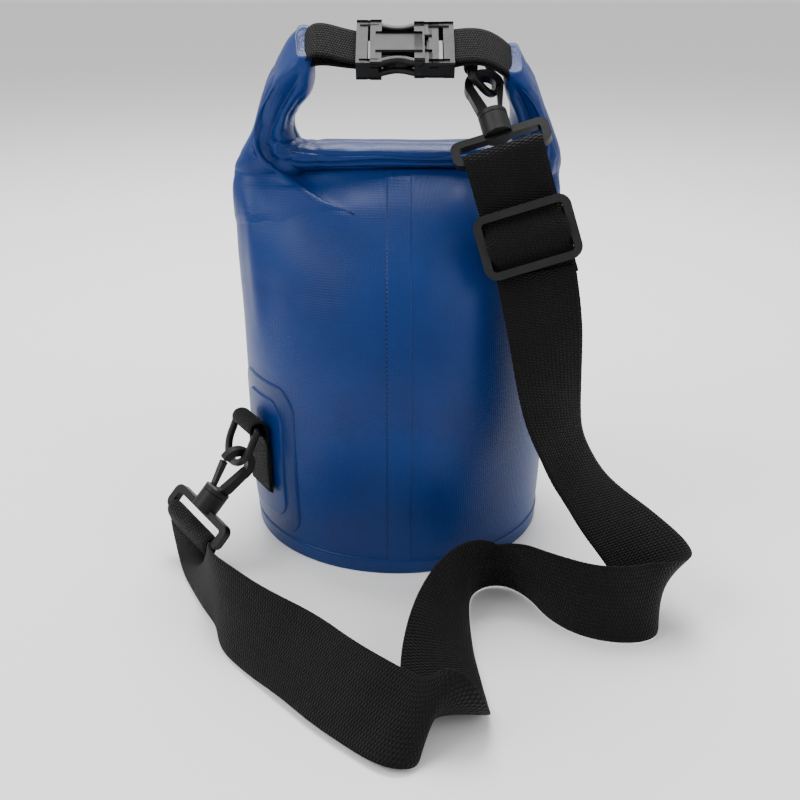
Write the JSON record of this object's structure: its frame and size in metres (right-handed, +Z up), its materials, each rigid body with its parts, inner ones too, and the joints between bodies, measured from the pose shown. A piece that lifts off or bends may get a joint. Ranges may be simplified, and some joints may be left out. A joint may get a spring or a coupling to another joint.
{
  "type": "roll-top dry bag",
  "caption": "Round-bottomed roll-top dry bag of coated fabric, its rolled mouth clipped into a carry handle, with a detachable adjustable shoulder strap.",
  "frame": {"origin": "centre of the base, on the surface the bag stands on", "axes": "+Z up through the bag, +X along the rolled mouth towards its buckle-plug end, -Y to the front with the strap"},
  "size_m": [0.2697, 0.3165, 0.2823],
  "materials": {
    "tarpaulin": "semi-gloss coated scrim",
    "webbing": "ribbed woven webbing",
    "black_plastic": "satin",
    "grey_plastic": "satin",
    "stiffener": "plain"
  },
  "bodies": {
    "bag": {"bag_tube": "tarpaulin", "bottom_panel": "tarpaulin", "bottom_hem": "tarpaulin", "front_seam_strip": "tarpaulin", "rolled_mouth": "tarpaulin", "mouth_stiffener": "stiffener", "left_rolled_end": "tarpaulin", "right_rolled_end": "tarpaulin", "left_handle_webbing": "webbing", "right_handle_webbing": "webbing", "ring_loop": "webbing", "buckle_plug": "black_plastic", "side_patch_outer": "tarpaulin", "side_patch_inner": "tarpaulin", "side_tab": "webbing", "shoulder_strap": "webbing"},
    "socket": {"buckle_socket": "black_plastic"},
    "prong_front": {"buckle_prong_front": "black_plastic"},
    "prong_rear": {"buckle_prong_rear": "black_plastic"},
    "upper_drop": {"upper_ring": "black_plastic", "upper_frame": "black_plastic", "upper_strap_wrap": "webbing", "strap_front_layer": "webbing", "strap_back_layer": "webbing"},
    "hook_upper": {"upper_hook": "black_plastic"},
    "gate_upper": {"upper_gate": "black_plastic"},
    "adjuster": {"slider": "grey_plastic", "slider_wrap": "webbing"},
    "lower_drop": {"lower_ring": "black_plastic", "lower_frame": "black_plastic", "lower_strap_wrap": "webbing"},
    "hook_lower": {"lower_hook": "black_plastic"},
    "gate_lower": {"lower_gate": "black_plastic"}
  },
  "joints": [
    {"name": "buckle_release", "type": "slide", "parent": "bag", "child": "socket", "axis": [-1, 0, 0], "range_m": [0, 0.014], "deforming": ["left_handle_webbing"]},
    {"name": "prong_front_squeeze", "type": "hinge", "parent": "bag", "child": "prong_front", "pos_m": [0.0135, -0.02647, 0.26364], "axis": [0, 0.5592, -0.829], "range_deg": [0, 8], "stiffness_Nm_per_rad": 0.05},
    {"name": "prong_rear_squeeze", "type": "hinge", "parent": "bag", "child": "prong_rear", "pos_m": [0.0135, -0.01353, 0.27236], "axis": [0, -0.5592, 0.829], "range_deg": [0, 8], "stiffness_Nm_per_rad": 0.05},
    {"name": "upper_strap_swing", "type": "hinge", "parent": "bag", "child": "upper_drop", "pos_m": [0.0372, -0.01709, 0.26369], "axis": [0, -0.829, -0.5592], "range_deg": [-6, 3], "deforming": ["shoulder_strap"]},
    {"name": "upper_hook_swivel", "type": "hinge", "parent": "upper_drop", "child": "hook_upper", "pos_m": [0.0527, -0.0526, 0.2222], "axis": [-0.2078, 0.7124, 0.6703], "range_deg": [-5, 5]},
    {"name": "upper_gate_press", "type": "hinge", "parent": "hook_upper", "child": "gate_upper", "pos_m": [0.05154, -0.03461, 0.23913], "axis": [0, -0.6853, 0.7283], "range_deg": [0, 13], "stiffness_Nm_per_rad": 0.03},
    {"name": "slider_shift", "type": "slide", "parent": "upper_drop", "child": "adjuster", "axis": [-0.2833, 0.2904, 0.914], "range_m": [0, 0.015]},
    {"name": "lower_strap_swing", "type": "hinge", "parent": "bag", "child": "lower_drop", "pos_m": [-0.08229, -0.04944, 0.075], "axis": [-0.515, 0.8572, 0], "range_deg": [0, 15], "deforming": ["shoulder_strap"]},
    {"name": "lower_hook_swivel", "type": "hinge", "parent": "lower_drop", "child": "hook_lower", "pos_m": [-0.1123, -0.0716, 0.0239], "axis": [0.592, 0.312, 0.7431], "range_deg": [-5, 5]},
    {"name": "lower_gate_press", "type": "hinge", "parent": "hook_lower", "child": "gate_lower", "pos_m": [-0.1004, -0.06553, 0.04471], "axis": [-0.4955, 0.868, 0.0303], "range_deg": [0, 13], "stiffness_Nm_per_rad": 0.03}
  ]
}
